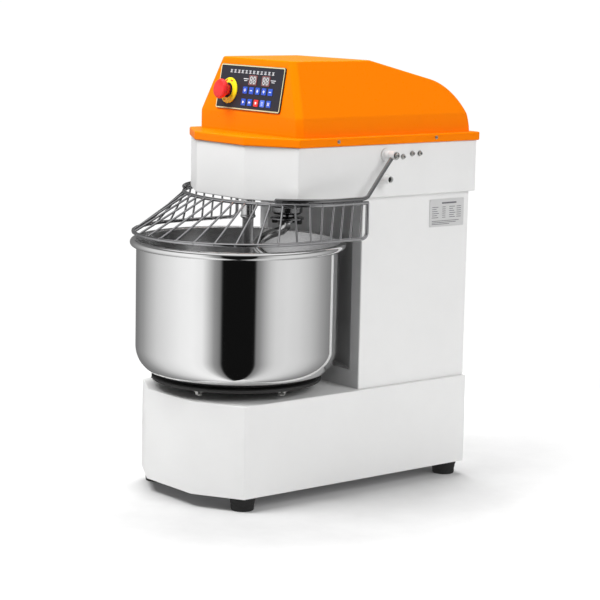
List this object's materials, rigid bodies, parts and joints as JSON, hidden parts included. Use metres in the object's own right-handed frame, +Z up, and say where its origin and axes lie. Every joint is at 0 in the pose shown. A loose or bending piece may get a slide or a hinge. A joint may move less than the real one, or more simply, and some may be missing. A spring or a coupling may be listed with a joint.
{
  "type": "spiral dough mixer",
  "caption": "Floor-standing spiral dough mixer with a turning stainless bowl, a spiral hook beside a fixed bar, a lifting wire guard and a sloping control panel.",
  "frame": {"origin": "middle of the footprint, on the floor under the feet", "axes": "+Z up, -Y towards the front where the bowl and the panel are, +X to the machine's left as it faces forward"},
  "size_m": [0.425, 0.689, 0.852],
  "materials": {
    "white_paint": "satin powder coat",
    "orange_cover": "gloss moulded cover",
    "stainless": "polished stainless",
    "chrome": "bright chrome plate",
    "dark_steel": "dark painted casting",
    "plain_steel": "plain machined steel",
    "motor_paint": "dark enamel",
    "black_rubber": "matte moulded rubber",
    "black_plastic": "matte",
    "panel_face": "printed satin face",
    "display_lens": "tinted window",
    "key_blue": "satin",
    "key_red": "satin",
    "stop_red": "gloss",
    "stop_yellow": "gloss",
    "circuit_board": "matte laminate",
    "rating_plate": "satin foil"
  },
  "bodies": {
    "frame": {"base_shell": "white_paint", "column_shell": "white_paint", "rear_cover": "white_paint", "head_shell": "white_paint", "hood": "orange_cover", "breaker_bar": "stainless", "guard_stop_left": "chrome", "guard_stop_right": "chrome", "spindle_housing": "dark_steel", "base_floor": "plain_steel", "bearing_beam": "plain_steel", "bowl_bearing": "plain_steel", "lay_bearing_lower": "plain_steel", "lay_bearing_upper": "plain_steel", "motor_plate": "plain_steel", "guard_bush_left": "plain_steel", "guard_bush_right": "plain_steel", "hook_chain": "plain_steel", "jack_chain": "plain_steel", "bowl_chain": "plain_steel", "motor_body": "motor_paint", "foot_front_left": "black_rubber", "foot_front_right": "black_rubber", "foot_rear_left": "black_rubber", "foot_rear_right": "black_rubber", "drive_belt": "black_rubber", "cable_gland": "black_plastic", "stop_contact_block": "black_plastic", "control_panel": "panel_face", "display_left": "display_lens", "display_right": "display_lens", "stop_collar": "stop_yellow", "key_board": "circuit_board", "rating_plate": "rating_plate"},
    "bowl": {"bowl": "stainless", "bowl_turntable": "dark_steel", "bowl_sprocket": "plain_steel"},
    "hook": {"spiral_hook": "stainless", "hook_spindle": "dark_steel", "hook_sprocket": "plain_steel"},
    "lay_shaft": {"lay_shaft": "plain_steel", "lay_pulley": "plain_steel"},
    "jack_shaft": {"jack_shaft": "plain_steel"},
    "motor_rotor": {"motor_shaft": "plain_steel", "motor_pulley": "plain_steel"},
    "guard": {"guard_grid": "chrome", "guard_arm_left": "chrome", "guard_arm_right": "chrome"},
    "stop_button": {"stop_button": "stop_red"},
    "key_1": {"key_1": "key_blue"},
    "key_2": {"key_2": "key_blue"},
    "key_3": {"key_3": "key_blue"},
    "key_4": {"key_4": "key_blue"},
    "key_5": {"key_5": "key_blue"},
    "key_6": {"key_6": "key_blue"},
    "key_7": {"key_7": "key_blue"},
    "key_8": {"key_8": "key_red"},
    "key_9": {"key_9": "key_blue"},
    "key_10": {"key_10": "key_blue"}
  },
  "joints": [
    {"name": "lay_spin", "type": "hinge", "parent": "frame", "child": "lay_shaft", "pos_m": [0, 0.135, 0.4], "axis": [0, 0, 1], "continuous": true},
    {"name": "bowl_spin", "type": "hinge", "parent": "frame", "child": "bowl", "pos_m": [0, -0.132, 0.3], "axis": [0, 0, 1], "continuous": true},
    {"name": "hook_spin", "type": "hinge", "parent": "frame", "child": "hook", "pos_m": [0.083, -0.078, 0.5], "axis": [0, 0, 1], "continuous": true},
    {"name": "jack_spin", "type": "hinge", "parent": "frame", "child": "jack_shaft", "pos_m": [0.075, 0.055, 0.13], "axis": [0, 0, 1], "continuous": true},
    {"name": "motor_spin", "type": "hinge", "parent": "frame", "child": "motor_rotor", "pos_m": [0, 0.252, 0.6], "axis": [0, 0, 1], "continuous": true},
    {"name": "guard_lift", "type": "hinge", "parent": "frame", "child": "guard", "pos_m": [0, 0.0938, 0.6715], "axis": [-1, 0, 0], "range_deg": [0, 70]},
    {"name": "stop_push", "type": "slide", "parent": "frame", "child": "stop_button", "axis": [0, 0.9851, -0.1722], "range_m": [0, 0.004], "stiffness_N_per_m": 900},
    {"name": "key_1_push", "type": "slide", "parent": "frame", "child": "key_1", "axis": [0, 0.9851, -0.1722], "range_m": [0, 0.0008], "stiffness_N_per_m": 900},
    {"name": "key_2_push", "type": "slide", "parent": "frame", "child": "key_2", "axis": [0, 0.9851, -0.1722], "range_m": [0, 0.0008], "stiffness_N_per_m": 900},
    {"name": "key_3_push", "type": "slide", "parent": "frame", "child": "key_3", "axis": [0, 0.9851, -0.1722], "range_m": [0, 0.0008], "stiffness_N_per_m": 900},
    {"name": "key_4_push", "type": "slide", "parent": "frame", "child": "key_4", "axis": [0, 0.9851, -0.1722], "range_m": [0, 0.0008], "stiffness_N_per_m": 900},
    {"name": "key_5_push", "type": "slide", "parent": "frame", "child": "key_5", "axis": [0, 0.9851, -0.1722], "range_m": [0, 0.0008], "stiffness_N_per_m": 900},
    {"name": "key_6_push", "type": "slide", "parent": "frame", "child": "key_6", "axis": [0, 0.9851, -0.1722], "range_m": [0, 0.0008], "stiffness_N_per_m": 900},
    {"name": "key_7_push", "type": "slide", "parent": "frame", "child": "key_7", "axis": [0, 0.9851, -0.1722], "range_m": [0, 0.0008], "stiffness_N_per_m": 900},
    {"name": "key_8_push", "type": "slide", "parent": "frame", "child": "key_8", "axis": [0, 0.9851, -0.1722], "range_m": [0, 0.0008], "stiffness_N_per_m": 900},
    {"name": "key_9_push", "type": "slide", "parent": "frame", "child": "key_9", "axis": [0, 0.9851, -0.1722], "range_m": [0, 0.0008], "stiffness_N_per_m": 900},
    {"name": "key_10_push", "type": "slide", "parent": "frame", "child": "key_10", "axis": [0, 0.9851, -0.1722], "range_m": [0, 0.0008], "stiffness_N_per_m": 900}
  ],
  "couplings": [
    {"joint": "hook_spin", "follows": "lay_spin", "ratio": 0.36923},
    {"joint": "jack_spin", "follows": "lay_spin", "ratio": 0.2375},
    {"joint": "bowl_spin", "follows": "lay_spin", "ratio": 0.039583},
    {"joint": "motor_spin", "follows": "lay_spin", "ratio": 2.7857}
  ]
}
